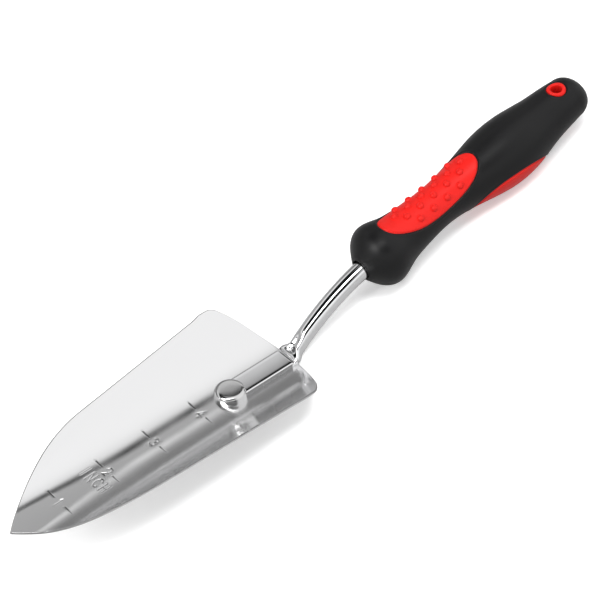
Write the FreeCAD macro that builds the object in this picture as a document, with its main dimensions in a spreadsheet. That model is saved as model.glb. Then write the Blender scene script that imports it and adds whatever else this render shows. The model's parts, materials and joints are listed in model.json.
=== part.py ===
"""Hand trowel: a pressed steel blade riveted to a cranked tang, with a soft two-colour handle.

Millimetres, +Z up. The trowel lies on a table, scoop up: the blade's heel and the handle's palm
swell touch the table, and the origin is the middle of its footprint. Every piece is drawn in
the trowel's own frame (X from the blade's tip towards the handle, Z above the blade's floor),
and the handle's pieces in the handle's frame (X along the handle from its nose).
"""
import FreeCAD, Part
import math
import os
import re

import Sketcher
from FreeCAD import Placement, Rotation, Vector

doc = FreeCAD.newDocument("hand_trowel")

# ---------------------------------------------------------------- driving dimensions

SIZES = [
    ("rest_pitch", 13.1, "how far the whole trowel leans nose up when it lies on a table, degrees"),
    ("origin_x", 0, "footprint middle, found once the pieces are built"),
    ("origin_z", 0, "table height, found once the pieces are built"),
    ("blade_length", 153.5, "tip to the crest of the heel"),
    ("blade_width", 68.8, "widest, just before the heel's corners"),
    ("sheet", 1.2, "steel sheet of the blade"),
    ("floor_margin", 1, "how much narrower than the strap the blade's flat strip is"),
    ("trough_radius", 26.6, "bend between the floor and a wing, inside"),
    ("wing_angle", 38, "slope of a wing, degrees"),
    ("nose_radius", 95.2, "curve of the cutting edge at the nose"),
    ("shoulder_x", 60, "where the nose curve meets the side"),
    ("side_flare", 7, "how far a side spreads from the shoulder to the widest place"),
    ("corner_radius", 8, "heel's corners"),
    ("corner_back", 19.5, "where a side turns into the corner, before the heel's crest"),
    ("heel_back", 13.5, "where a corner meets the heel's long curve, before the crest"),
    ("heel_inset", 2.9, "how far in from the widest place that is"),
    ("shank_radius", 2.8, "rivet's shank"),
    ("rivet_fit", 0, "gap round the shank, none since it is swaged"),
    ("head_skirt", 1.8, "how far the rivet's head stands out past the strap"),
    ("head_round", 2.3, "how far in from the head's foot its flat top begins"),
    ("head_rise", 1.4, "head's top above the strap"),
    ("tail_radius", 5.6, "swaged tail under the blade"),
    ("tail_rise", 1.6, "tail's thickness"),
    ("strap_lift", 4, "where the strap leaves the blade, before the heel's crest"),
    ("strap_reach", 31, "rivet's centre to where the strap leaves the blade"),
    ("strap_width", 11, "flattened end of the tang"),
    ("strap_thick", 2.4, "flattened end's thickness"),
    ("flare_width", 11.8, "tang's widest, where it turns round"),
    ("flare_thick", 3.6, "thickness there"),
    ("flare_turn", 20, "how far the bend has turned there, degrees"),
    ("rod_radius", 3.8, "tang's rod above the blade"),
    ("rod_root_radius", 4.3, "rod inside the handle"),
    ("rod_pitch", 42.5, "rod's rise from the blade's floor, degrees"),
    ("strap_bend", 12, "bend from strap to rod, at the middle of the metal"),
    ("rod_straight", 1, "straight run between the two bends"),
    ("rod_bend", 96.6, "long bend from rod to handle"),
    ("rod_set", 8, "where that bend ends inside the handle"),
    ("rod_reach", 96, "how far the rod runs into the handle"),
    ("handle_pitch", 12.5, "handle's rise from the blade's floor, degrees"),
    ("sleeve_wall", 2.6, "soft sleeve over the core"),
    ("pad_at", 44.5, "thumb pad's middle along the handle"),
    ("pad_depth", 4, "its lowest edge, above the handle's axis"),
    ("pad_sweep", 47.8, "round sweep of its edge, seen from the side"),
    ("finger_at", 82, "finger pad's middle along the handle"),
    ("finger_length", 50, "finger pad, along"),
    ("finger_rise", 14.5, "finger pad's window, half its height"),
    ("finger_drop", 14, "window's middle under the handle's axis"),
    ("hang_at", 125.5, "hang hole along the handle"),
    ("hang_radius", 2.6, "hang hole"),
    ("ring_radius", 4.5, "soft ring round the hang hole"),
]

# Ovals along the handle: place, half width, how much taller than wide, lift of the middle.
OVALS = [
    ("nose", 0.0, 5.6, 0.2, 0.0),
    ("chin", 4.5, 11.6, 0.2, 0.0),
    ("bulb", 12.0, 15.1, 0.2, 0.0),
    ("collar", 21.0, 12.7, 0.2, 0.1),
    ("throat", 32.0, 10.8, 0.4, 0.5),
    ("waist", 47.0, 9.8, 0.7, 0.9),
    ("flank", 64.0, 11.6, 0.7, 0.2),
    ("palm", 83.0, 15.0, 0.4, -0.7),
    ("rump", 100.0, 14.7, 0.3, -0.8),
    ("hip", 113.0, 12.4, 0.2, -0.2),
    ("stern", 127.0, 10.9, 0.2, 0.3),
    ("butt", 136.5, 7.8, 0.2, -1.2),
    ("end", 140.5, 1.6, 0.2, -3.0),
]
OVAL_CELLS = [("at", "along the handle"), ("half", "half width"),
              ("taller", "half height less half width"), ("lift", "middle above the axis")]
for oval in OVALS:
    for (suffix, words), number in zip(OVAL_CELLS, oval[1:]):
        SIZES.append((f"{oval[0]}_{suffix}", number, f"{oval[0]} oval, {words}"))

sheet = doc.addObject("Spreadsheet::Sheet", "sizes")
for row, (alias, number, words) in enumerate(SIZES, start=1):
    sheet.set(f"A{row}", words)
    sheet.set(f"B{row}", str(number))
    sheet.setAlias(f"B{row}", alias)
doc.recompute()

WORDS = re.compile(r"\b(" + "|".join(alias for alias, _, _ in SIZES) + r")\b")


def bound(formula):
    """The formula as another object writes it, with each size read from the sheet."""
    return WORDS.sub(r"sizes.\1", str(formula))


def value(formula):
    """What the formula comes to with the sheet's present sizes."""
    return float(sheet.evalExpression(str(formula)))


# Places along the trowel, each worked out from the one before: the strap leaves the blade near
# the heel, bends up to the rod's root, runs straight, and bends back to the handle's axis.
STRAP_X = "(blade_length - strap_lift)"
RIVET_X = f"({STRAP_X} - strap_reach)"
ROOT_X = f"({STRAP_X} + strap_bend * sin(rod_pitch))"
ROOT_Z = "(strap_thick / 2 + strap_bend * (1 - cos(rod_pitch)))"
TURN_X = f"({ROOT_X} + rod_straight * cos(rod_pitch))"
TURN_Z = f"({ROOT_Z} + rod_straight * sin(rod_pitch))"
SET_X = f"({TURN_X} + rod_bend * (sin(rod_pitch) - sin(handle_pitch)))"
SET_Z = f"({TURN_Z} + rod_bend * (cos(handle_pitch) - cos(rod_pitch)))"
HANDLE_X = f"({SET_X} - rod_set * cos(handle_pitch))"
HANDLE_Z = f"({SET_Z} - rod_set * sin(handle_pitch))"


# ---------------------------------------------------------------- drawing helpers

def body(label, along="0", above="0", pitch="0"):
    """An empty body, set where the trowel's frame says and laid on the table with it."""
    made = doc.addObject("PartDesign::Body", label)
    made.Placement = Placement(Vector(), Rotation(Vector(0, 1, 0), 1))
    made.setExpression("Placement.Rotation.Angle", bound(f"rest_pitch - ({pitch})"))
    lean = "rest_pitch"
    made.setExpression("Placement.Base.x", bound(
        f"origin_x + ({along}) * cos({lean}) + ({above}) * sin({lean})"))
    made.setExpression("Placement.Base.z", bound(
        f"origin_z - ({along}) * sin({lean}) + ({above}) * cos({lean})"))
    return made


def handle_body(label):
    """A body in the handle's frame."""
    return body(label, HANDLE_X, HANDLE_Z, "handle_pitch")


def sketch(owner, name, plane, out="0", up="0", lean="0"):
    """A sketch on one of the body's planes, moved out along the plane's normal and up, and leant."""
    drawn = owner.newObject("Sketcher::SketchObject", name)
    support = next(part for part in owner.Origin.OriginFeatures if part.Role == plane)
    drawn.AttachmentSupport = (support, [""])
    drawn.MapMode = "FlatFace"
    drawn.AttachmentOffset = Placement(Vector(), Rotation(Vector(1, 0, 0), 1))
    drawn.setExpression("AttachmentOffset.Rotation.Angle", bound(f"0 - ({lean})"))
    drawn.setExpression("AttachmentOffset.Base.y", bound(up))
    drawn.setExpression("AttachmentOffset.Base.z", bound(out))
    return drawn


def pin(drawn, curve, end, across, up):
    """Fix one end (1 start, 2 end, 3 centre) of a curve at two formulas from the sketch's origin."""
    for kind, formula in (("DistanceX", across), ("DistanceY", up)):
        number = drawn.addConstraint(Sketcher.Constraint(kind, -1, 1, curve, end, value(formula)))
        drawn.setExpression(f"Constraints[{number}]", bound(formula))


def size(drawn, kind, curve, formula):
    """Fix the radius or the length of a curve."""
    number = drawn.addConstraint(Sketcher.Constraint(kind, curve, value(formula)))
    drawn.setExpression(f"Constraints[{number}]", bound(formula))


def arc_between(start, end, radius, left):
    """The shorter arc from start to end; left says on which side of the way its centre lies."""
    chord = end - start
    rise = math.sqrt(max(radius ** 2 - (chord.Length / 2) ** 2, 0))
    side = Vector(-chord.y, chord.x, 0).normalize() * (1 if left else -1)
    middle = (start + end) / 2 + side * (rise - radius)
    return Part.Arc(start, middle, end)


def outline(drawn, corners, closed=True):
    """Lines and arcs from corner to corner. A corner is (across, up) and, where an arc leaves
    it, the arc's radius and the side its centre is on."""
    count = len(corners)
    points = [Vector(value(corner[0]), value(corner[1]), 0) for corner in corners]
    spans = count if closed else count - 1
    first = None
    for index in range(spans):
        start, end = points[index], points[(index + 1) % count]
        arc = corners[index][2:]
        if arc:
            curve = drawn.addGeometry(arc_between(start, end, value(arc[0]), arc[1] == "left"))
        else:
            curve = drawn.addGeometry(Part.LineSegment(start, end))
        first = curve if first is None else first
    for index in range(spans):
        curve = first + index
        is_arc = len(corners[index]) > 2
        # an arc is stored counter-clockwise, so one that turns right runs from end to start
        begins, ends = (2, 1) if is_arc and corners[index][3] == "right" else (1, 2)
        pin(drawn, curve, begins, corners[index][0], corners[index][1])
        if is_arc:
            size(drawn, "Radius", curve, corners[index][2])
        if index + 1 < spans or closed:
            following = (index + 1) % spans
            next_arc = len(corners[following]) > 2 and corners[following][3] == "right"
            drawn.addConstraint(Sketcher.Constraint(
                "Coincident", curve, ends, first + following, 2 if next_arc else 1))
        else:
            pin(drawn, curve, ends, corners[index + 1][0], corners[index + 1][1])


def circle(drawn, radius, across="0", up="0"):
    centre = Vector(value(across), value(up), 0)
    curve = drawn.addGeometry(Part.Circle(centre, Vector(0, 0, 1), value(radius)))
    pin(drawn, curve, 3, across, up)
    size(drawn, "Radius", curve, radius)


def oval(drawn, half, taller, across="0", up="0", tall=True):
    """An ellipse whose longer half axis is half + taller, upright or lying."""
    centre = Vector(value(across), value(up), 0)
    long_half, short_half = value(f"{half} + {taller}"), value(half)
    along = Vector(0, 1, 0) if tall else Vector(1, 0, 0)
    crosswise = Vector(-along.y, along.x, 0)
    curve = drawn.addGeometry(Part.Ellipse(
        centre + along * long_half, centre + crosswise * short_half, centre))
    drawn.exposeInternalGeometry(curve)
    pin(drawn, curve, 3, across, up)
    drawn.addConstraint(Sketcher.Constraint("Vertical" if tall else "Horizontal", curve + 1))
    size(drawn, "Distance", curve + 1, f"2 * ({half} + {taller})")
    size(drawn, "Distance", curve + 2, f"2 * ({half})")


def raise_sketch(owner, name, drawn, height, both_ways=False, down=False):
    """Pad a sketch to a height, to one side or, half each, to both."""
    pad = owner.newObject("PartDesign::Pad", name)
    pad.Profile = drawn
    pad.SideType = "Symmetric" if both_ways else "One side"
    pad.Reversed = down
    pad.setExpression("Length", bound(height))
    return pad


def sink_sketch(owner, name, drawn, depth):
    """Cut a sketch to half the depth each way, and make sure that it took something away."""
    doc.recompute()
    before = owner.Shape.Volume
    pocket = owner.newObject("PartDesign::Pocket", name)
    pocket.Profile = drawn
    pocket.SideType = "Symmetric"
    pocket.setExpression("Length", bound(depth))
    doc.recompute()
    if owner.Shape.Volume >= before:
        raise RuntimeError(f"{name} cuts nothing")
    return pocket


def loft(owner, name, sections):
    made = owner.newObject("PartDesign::AdditiveLoft", name)
    made.Profile = sections[0]
    made.Sections = sections[1:]
    return made


def joined(kind, name, base, tools):
    """Cut or Common of a base with each tool in turn; the last one carries the name."""
    for number, tool in enumerate(tools, start=1):
        last = number == len(tools)
        made = doc.addObject(f"Part::{kind}", name if last else f"{name}_step{number}")
        made.Base, made.Tool = base, tool
        base = made
    return base


# ---------------------------------------------------------------- blade

def make_blade():
    blade = body("blade")
    floor_y = "(strap_width - floor_margin) / 2"
    wing_y = f"({floor_y} + trough_radius * sin(wing_angle))"
    wing_z = "(trough_radius * (1 - cos(wing_angle)))"
    rim_y = "(blade_width / 2 + sheet)"
    rim_z = f"({wing_z} + ({rim_y} - {wing_y}) * tan(wing_angle))"
    under_y, under_z = "sheet * sin(wing_angle)", "sheet * cos(wing_angle)"
    top = [(floor_y, "0"), (wing_y, wing_z), (rim_y, rim_z)]
    low = [(floor_y, "-sheet"), (f"{wing_y} + {under_y}", f"{wing_z} - {under_z}"),
           (f"{rim_y} + {under_y}", f"{rim_z} - {under_z}")]
    outer = "trough_radius + sheet"
    section = sketch(blade, "blade_section", "YZ_Plane")
    outline(section, [
        (*low[0], outer, "left"), low[1], low[2],
        top[2], (*top[1], "trough_radius", "right"), top[0],
        (f"-{top[0][0]}", top[0][1], "trough_radius", "right"), (f"-{top[1][0]}", top[1][1]),
        (f"-{top[2][0]}", top[2][1]),
        (f"-({low[2][0]})", low[2][1]), (f"-({low[1][0]})", low[1][1], outer, "left"),
        (f"-{low[0][0]}", low[0][1])])
    raise_sketch(blade, "blade_trough", section, "blade_length")

    plan = sketch(blade, "blade_plan", "XY_Plane")
    side = "(blade_width / 2)"
    shoulder, heel = f"({side} - side_flare)", f"({side} - heel_inset)"
    corner_x, heel_x = "(blade_length - corner_back)", "(blade_length - heel_back)"
    heel_radius = f"({heel} ^ 2 + heel_back ^ 2) / (2 * heel_back)"
    outline(plan, [
        ("0", "0", "nose_radius", "left"), ("shoulder_x", f"-{shoulder}"),
        (corner_x, f"-{side}", "corner_radius", "left"),
        (heel_x, f"-{heel}", heel_radius, "left"),
        (heel_x, heel, "corner_radius", "left"), (corner_x, side),
        ("shoulder_x", shoulder, "nose_radius", "left")])
    margin = "(blade_width / 2 + 2 * sheet)"
    outline(plan, [
        ("-blade_length / 4", f"-{margin}"), ("blade_length * 1.25", f"-{margin}"),
        ("blade_length * 1.25", margin), ("-blade_length / 4", margin)])
    sink_sketch(blade, "blade_trim", plan, "2 * blade_width")

    hole = sketch(blade, "rivet_hole", "XY_Plane")
    circle(hole, "shank_radius + rivet_fit", RIVET_X)
    sink_sketch(blade, "rivet_hole_cut", hole, "4 * sheet")
    return blade


# ---------------------------------------------------------------- tang

def make_tang():
    tang = body("tang")
    plate = sketch(tang, "strap_plan", "XY_Plane")
    half = "(strap_width / 2)"
    outline(plate, [
        (RIVET_X, half, half, "left"), (f"{RIVET_X} - {half}", "0", half, "left"),
        (RIVET_X, f"-{half}"), (STRAP_X, f"-{half}"), (STRAP_X, half)])
    raise_sketch(tang, "strap", plate, "strap_thick")

    flat = sketch(tang, "neck_flat", "YZ_Plane", STRAP_X, "strap_thick / 2")
    oval(flat, "strap_thick / 2", "(strap_width - strap_thick) / 2", tall=False)
    flare = sketch(tang, "neck_flare", "YZ_Plane",
                   f"{STRAP_X} + strap_bend * sin(flare_turn)",
                   "strap_thick / 2 + strap_bend * (1 - cos(flare_turn))", "flare_turn")
    oval(flare, "flare_thick / 2", "(flare_width - flare_thick) / 2", tall=False)
    root = sketch(tang, "neck_root", "YZ_Plane", ROOT_X, ROOT_Z, "rod_pitch")
    circle(root, "rod_radius")
    loft(tang, "neck", [flat, flare, root])

    line = sketch(tang, "rod_line", "XZ_Plane")
    far = "(rod_reach - rod_set)"
    outline(line, [
        (ROOT_X, ROOT_Z), (TURN_X, TURN_Z, "rod_bend", "right"), (SET_X, SET_Z),
        (f"{SET_X} + {far} * cos(handle_pitch)", f"{SET_Z} + {far} * sin(handle_pitch)")],
        closed=False)
    start = sketch(tang, "rod_start", "YZ_Plane", ROOT_X, ROOT_Z, "rod_pitch")
    circle(start, "rod_radius")
    finish = sketch(tang, "rod_finish", "YZ_Plane",
                    f"{SET_X} + {far} * cos(handle_pitch)",
                    f"{SET_Z} + {far} * sin(handle_pitch)", "handle_pitch")
    circle(finish, "rod_root_radius")
    rod = tang.newObject("PartDesign::AdditivePipe", "rod")
    rod.Profile = start
    rod.Spine = line
    rod.Transformation = "Multisection"
    rod.Sections = [finish]

    hole = sketch(tang, "strap_hole", "XY_Plane")
    circle(hole, "shank_radius + rivet_fit", RIVET_X)
    sink_sketch(tang, "strap_hole_cut", hole, "4 * strap_thick")
    return tang


# ---------------------------------------------------------------- rivet

def make_rivet(blade, tang):
    """A domed head that sits down over the strap's end, a shank, and a swaged tail below."""
    rivet = body("rivet_blank", RIVET_X)
    half = sketch(rivet, "rivet_half", "XZ_Plane")
    top = "(strap_thick + head_rise)"
    tail_top, tail_low = "-sheet", "(-sheet - tail_rise)"
    foot = "(strap_width / 2 + head_skirt)"
    outline(half, [
        ("0", tail_low), ("tail_radius - tail_rise", tail_low, "tail_rise", "left"),
        ("tail_radius", tail_top), ("shank_radius", tail_top), ("shank_radius", "0"),
        (foot, "0", f"({top} ^ 2 + head_round ^ 2) / (2 * head_round)", "left"),
        (f"{foot} - head_round", top), ("0", top)])
    turned = rivet.newObject("PartDesign::Revolution", "rivet_turned")
    turned.Profile = half
    turned.ReferenceAxis = (half, ["V_Axis"])
    turned.Angle = 360
    return joined("Cut", "rivet", rivet, [tang, blade])


# ---------------------------------------------------------------- handle

def handle_form(label, names, wall, first, last):
    """A loft through the named ovals, each drawn in by a wall, between two places."""
    form = handle_body(label)
    sections = []
    for name in names:
        at = {names[0]: first, names[-1]: last}.get(name, f"{name}_at")
        drawn = sketch(form, f"{label}_{name}", "YZ_Plane", at, f"{name}_lift")
        oval(drawn, f"({name}_half - {wall})", f"{name}_taller")
        sections.append(drawn)
    loft(form, f"{label}_loft", sections)
    return form


def make_handle(tang):
    names = [row[0] for row in OVALS]
    form = handle_form("handle_form", names, "0", "nose_at", "end_at")
    inner = handle_form("core_form", names[1:-1], "sleeve_wall", "chin_at", "butt_at")

    pad_window = handle_body("thumb_window")
    drawn = sketch(pad_window, "thumb_window_side", "XZ_Plane")
    circle(drawn, "pad_sweep", "pad_at", "pad_depth + pad_sweep")
    raise_sketch(pad_window, "thumb_window_column", drawn, "6 * palm_half", both_ways=True)

    finger_window = handle_body("finger_window")
    drawn = sketch(finger_window, "finger_window_side", "XZ_Plane")
    oval(drawn, "finger_rise", "(finger_length / 2 - finger_rise)",
         "finger_at", "-finger_drop", tall=False)
    raise_sketch(finger_window, "finger_window_column", drawn, "6 * palm_half", both_ways=True)

    ring_column = handle_body("ring_column")
    drawn = sketch(ring_column, "ring_column_round", "XY_Plane")
    circle(drawn, "ring_radius", "hang_at")
    raise_sketch(ring_column, "ring_column_pad", drawn, "6 * stern_half", both_ways=True)

    ring_tube = handle_body("ring_tube")
    drawn = sketch(ring_tube, "ring_tube_round", "XY_Plane")
    circle(drawn, "ring_radius", "hang_at")
    circle(drawn, "hang_radius", "hang_at")
    raise_sketch(ring_tube, "ring_tube_pad", drawn, "6 * stern_half", both_ways=True)

    core = joined("Cut", "handle_core", inner, [tang, ring_column])
    sleeve = joined("Cut", "grip_sleeve", form,
                    [inner, tang, pad_window, finger_window, ring_column])
    thumb_blank = joined("Common", "thumb_blank", form, [pad_window])
    thumb = joined("Cut", "thumb_pad", thumb_blank, [inner])
    finger_blank = joined("Common", "finger_blank", form, [finger_window])
    finger = joined("Cut", "finger_pad", finger_blank, [inner])
    ring = joined("Common", "hang_ring", form, [ring_tube])
    return [core, sleeve, thumb, finger, ring]


# ---------------------------------------------------------------- build, lay down, write

blade = make_blade()
tang = make_tang()
nodes = [blade, tang, make_rivet(blade, tang)] + make_handle(tang)
doc.recompute()


def lay_on_table():
    """Move the origin to the middle of the footprint, at the lowest point."""
    box = FreeCAD.BoundBox()
    for node in nodes:
        box.add(node.Shape.optimalBoundingBox(False, False))
    for alias, shift in (("origin_x", -(box.XMin + box.XMax) / 2), ("origin_z", -box.ZMin)):
        sheet.set(alias, f"{sheet.get(alias) + shift:.4f}")
    doc.recompute()


lay_on_table()

for thing in doc.Objects:
    if "Invalid" in thing.State or "Error" in thing.State:
        raise RuntimeError(f"{thing.Label} failed: {thing.State}")

os.makedirs("parts", exist_ok=True)
for node in nodes:
    shape = node.Shape
    if shape.isNull() or not shape.isValid():
        raise RuntimeError(f"{node.Label} has no sound shape")
    print(f"{node.Label:14s} {len(shape.Solids)} solid(s) {shape.Volume:10.1f} mm3")
    shape.exportStep(f"parts/{node.Label}.step")
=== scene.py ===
"""Hand trowel: the finished look of its blade, tang, rivet and two-colour handle.

The blade, tang and rivet are modelled in the trowel's own frame (X from the blade's tip towards
the handle, Z up from the blade's floor), and the grip in the handle's frame (X along the handle
from its nose). Each finished piece is then laid on the table where the frame says.
"""
import json
import math

import bmesh
import bpy
import numpy as np
from bpy.props import FloatProperty, FloatVectorProperty, IntProperty, PointerProperty
from mathutils import Matrix, Vector
from mathutils.kdtree import KDTree


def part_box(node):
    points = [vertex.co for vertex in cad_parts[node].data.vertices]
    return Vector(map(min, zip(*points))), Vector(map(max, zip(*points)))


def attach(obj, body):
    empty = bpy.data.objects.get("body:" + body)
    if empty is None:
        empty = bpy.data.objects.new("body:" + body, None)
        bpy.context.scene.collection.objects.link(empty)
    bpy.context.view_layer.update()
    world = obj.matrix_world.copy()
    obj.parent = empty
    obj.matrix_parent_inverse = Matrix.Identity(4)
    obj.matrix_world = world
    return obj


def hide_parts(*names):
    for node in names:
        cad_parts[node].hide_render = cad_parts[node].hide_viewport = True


bl_info = {
    "name": "Hand Trowel",
    "version": (1, 0, 0),
    "blender": (4, 5, 0),
    "location": "View3D > Sidebar > Trowel",
    "description": "Models and finishes a riveted hand trowel with a soft two-colour grip",
    "category": "Object",
}

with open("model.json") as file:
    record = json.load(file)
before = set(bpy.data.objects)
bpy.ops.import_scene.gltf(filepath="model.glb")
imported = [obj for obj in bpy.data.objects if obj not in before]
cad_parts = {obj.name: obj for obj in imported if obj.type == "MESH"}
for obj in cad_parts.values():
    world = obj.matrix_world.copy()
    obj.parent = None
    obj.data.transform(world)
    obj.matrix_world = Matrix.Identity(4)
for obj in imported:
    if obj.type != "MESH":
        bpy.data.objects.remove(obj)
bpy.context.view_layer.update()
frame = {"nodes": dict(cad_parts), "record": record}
MM = 0.001
ROOT_BODY = "root"
HANG_HOLE = next(m for m in frame["record"]["mounts"] if m["name"] == "hang_hole")


# ---------------------------------------------------------------- sizes and colours

def length(name, number, words):
    """A length property, its default given in millimetres."""
    return FloatProperty(name=name, description=words, default=number * MM, unit="LENGTH",
                         precision=5, min=0.0)


def angle(name, number, words):
    """An angle property, its default given in degrees."""
    return FloatProperty(name=name, description=words, default=math.radians(number),
                         subtype="ANGLE", unit="ROTATION")


def colour(name, red, green, blue, words):
    return FloatVectorProperty(name=name, description=words, default=(red, green, blue),
                               subtype="COLOR", size=3, min=0.0, max=1.0)


class BladeSizes(bpy.types.PropertyGroup):
    length: length("Length", 153.5, "Tip to the crest of the heel")
    half_width: length("Half width", 34.4, "Half the blade's widest place")
    sheet: length("Sheet", 1.2, "Thickness of the steel sheet")
    floor_half: length("Floor", 2.1, "Half the flat strip along the middle")
    floor_open: length("Floor spread", 4.6, "How much wider that strip is at the tip")
    floor_run: length("Spread's run", 66.0, "Where the strip has narrowed")
    trough: length("Trough", 35.0, "Radius of the bend from floor to wing")
    wing: angle("Wing slope", 38.0, "Slope of a wing from the floor")
    dish: length("Dish", 0.5, "How far a wing curls up at its rim")
    nose: length("Nose", 95.2, "Radius of the cutting edge at the nose")
    shoulder: length("Shoulder", 60.0, "Where the nose curve meets the straight side")
    flare: length("Flare", 7.0, "How far a side spreads from the shoulder to the heel")
    corner: length("Corner", 8.0, "Radius of the heel's corners")
    corner_back: length("Corner start", 19.5, "Corner's start before the heel's crest")
    heel_back: length("Corner end", 13.5, "Corner's end before the heel's crest")
    heel_inset: length("Corner inset", 2.9, "Corner's end in from the widest place")
    blunt: length("Blunt tip", 0.3, "How much of the sharp tip is taken off")
    rim: length("Rim", 0.45, "How far in the sheet's rim is rounded")
    stamp_depth: length("Stamp depth", 0.15, "Depth of the stamped strokes")
    stamp_half: length("Stamp width", 0.34, "Half the width of a stamped stroke")
    inch: length("Mark pitch", 25.4, "Spacing of the depth marks")


class TangSizes(bpy.types.PropertyGroup):
    strap_half: length("Strap half width", 5.5, "Half the flattened end's width")
    strap_thick: length("Strap thickness", 2.4, "Thickness of the flattened end")
    strap_lift: length("Strap lift", 4.0, "Where the strap leaves the blade, before the crest")
    strap_reach: length("Strap reach", 31.0, "Rivet's centre to where the strap leaves the blade")
    strap_bend: length("Strap bend", 12.0, "Radius of the bend from strap to rod")
    rod_pitch: angle("Rod pitch", 42.5, "Rod's rise from the blade's floor")
    rod_straight: length("Rod straight", 1.0, "Straight run between the bends")
    rod_bend: length("Rod bend", 96.6, "Radius of the bend from rod to handle")
    rod_half: length("Rod radius", 3.8, "Rod's radius above the blade")
    rod_root: length("Rod root", 4.3, "Rod's radius inside the handle")
    rod_reach: length("Rod reach", 88.0, "Rod's straight run inside the handle")
    head: length("Rivet head", 7.3, "Radius of the rivet's head")
    head_rise: length("Rivet rise", 3.8, "Height of the rivet's head above the blade")
    tail: length("Rivet tail", 5.6, "Radius of the swaged tail under the blade")
    tail_rise: length("Tail rise", 1.6, "Thickness of the tail")


class GripSizes(bpy.types.PropertyGroup):
    pitch: angle("Handle pitch", 12.5, "Handle's rise from the blade's floor")
    hang_at: length("Hang hole", 125.5, "Hang hole along the handle")
    hang_lift: length("Hang lift", 0.35, "Middle of the hole's wall above the handle's axis")
    ring: length("Ring radius", 4.5, "Outside of the ring round the hang hole")
    hole: length("Hole radius", 2.6, "Radius of the hang hole")
    skin: length("Skin", 1.6, "Thickness of the soft skin")
    seam_depth: length("Seam depth", 0.5, "Depth of the groove between two colours")
    seam_half: length("Seam width", 0.42, "Half width of that groove")
    pad_at: length("Pad middle", 44.5, "Thumb pad's middle along the handle")
    pad_low: length("Pad edge", 4.8, "Pad's lowest edge above the handle's axis")
    pad_sweep: length("Pad sweep", 47.8, "Radius of the pad's edge seen from the side")
    finger_at: length("Finger middle", 82.0, "Finger pad's middle along the handle")
    finger_half: length("Finger half", 25.0, "Half the finger pad's length")
    finger_rise: length("Finger rise", 14.5, "Half height of its window seen from the side")
    finger_drop: length("Finger drop", 14.0, "Window's middle under the handle's axis")
    nub: length("Nub radius", 1.6, "Radius of a nub at its foot")
    nub_rise: length("Nub rise", 1.35, "Height of a nub")
    nub_pitch: length("Nub pitch", 4.1, "Spacing of the staggered nubs")
    nub_from: length("First nub", 24.6, "First row of nubs along the handle")
    nub_rows: IntProperty(name="Nub rows", description="Rows of nubs", default=11, min=1)


class Finishes(bpy.types.PropertyGroup):
    blade: colour("Blade", 0.86, 0.86, 0.865, "Polished stainless sheet")
    # The edge tint is painted shade: a dark line along the blade's rim and over the strap's sides.
    edge: colour("Edge shade", 0.28, 0.28, 0.28, "Painted shade on the sheet's rim and the strap's sides")
    rod: colour("Rod", 0.86, 0.86, 0.87, "Bright plate on the tang")
    rivet: colour("Rivet", 0.70, 0.70, 0.70, "Bright steel of the rivet")
    black: colour("Black grip", 0.006, 0.006, 0.0065, "Soft black overmould")
    red: colour("Red grip", 0.74, 0.014, 0.010, "Soft red inlays")
    core: colour("Core", 0.05, 0.05, 0.05, "Hidden moulded core")
    table: colour("Table", 0.93, 0.93, 0.93, "Pale table top")


def sizes(name):
    return getattr(bpy.context.scene, f"trowel_{name}")


# ---------------------------------------------------------------- where the pieces lie

def rest_pitch():
    """How far the whole trowel leans on the table, from the hang hole's axis."""
    return sizes("grip").pitch + math.asin(HANG_HOLE["axis"][0])


def trowel_place():
    """The trowel's own frame: its tip is the blade's farthest and highest corner."""
    low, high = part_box("blade")
    lean = rest_pitch()
    tip_x = low[0] + sizes("blade").sheet * math.sin(lean)
    return Matrix.Translation((tip_x, 0, high[2])) @ Matrix.Rotation(lean, 4, "Y")


def handle_place():
    """The handle's frame, found from the hang hole."""
    grip = sizes("grip")
    turn = Matrix.Rotation(rest_pitch() - grip.pitch, 4, "Y")
    hole = Vector((grip.hang_at, 0, grip.hang_lift))
    return Matrix.Translation(Vector(HANG_HOLE["pos_m"]) - turn @ hole) @ turn


# ---------------------------------------------------------------- modelling helpers

def fresh():
    """Object mode with nothing selected."""
    if bpy.context.mode != "OBJECT":
        bpy.ops.object.mode_set(mode="OBJECT")
    bpy.ops.object.select_all(action="DESELECT")


def only(made):
    fresh()
    made.select_set(True)
    bpy.context.view_layer.objects.active = made


def named(name):
    made = bpy.context.active_object
    made.name = made.data.name = name
    return made


def corners(made):
    """A piece's vertices as an array of places."""
    flat = np.empty(len(made.data.vertices) * 3)
    made.data.vertices.foreach_get("co", flat)
    return flat.reshape(-1, 3)


def put(made, at):
    """Set a piece's vertices on an array of places."""
    made.data.vertices.foreach_set("co", at.ravel())
    made.data.update()


def quilt(name, grid):
    """A grid primitive whose corners are set on the rows and columns of a (rows, columns, 3) array."""
    rows, columns = grid.shape[:2]
    fresh()
    bpy.ops.mesh.primitive_grid_add(x_subdivisions=columns - 1, y_subdivisions=rows - 1, size=2)
    made = named(name)
    at = corners(made)
    column = np.rint((at[:, 0] + 1) / 2 * (columns - 1)).astype(int)
    row = np.rint((at[:, 1] + 1) / 2 * (rows - 1)).astype(int)
    put(made, grid[row, column])
    return made


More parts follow.
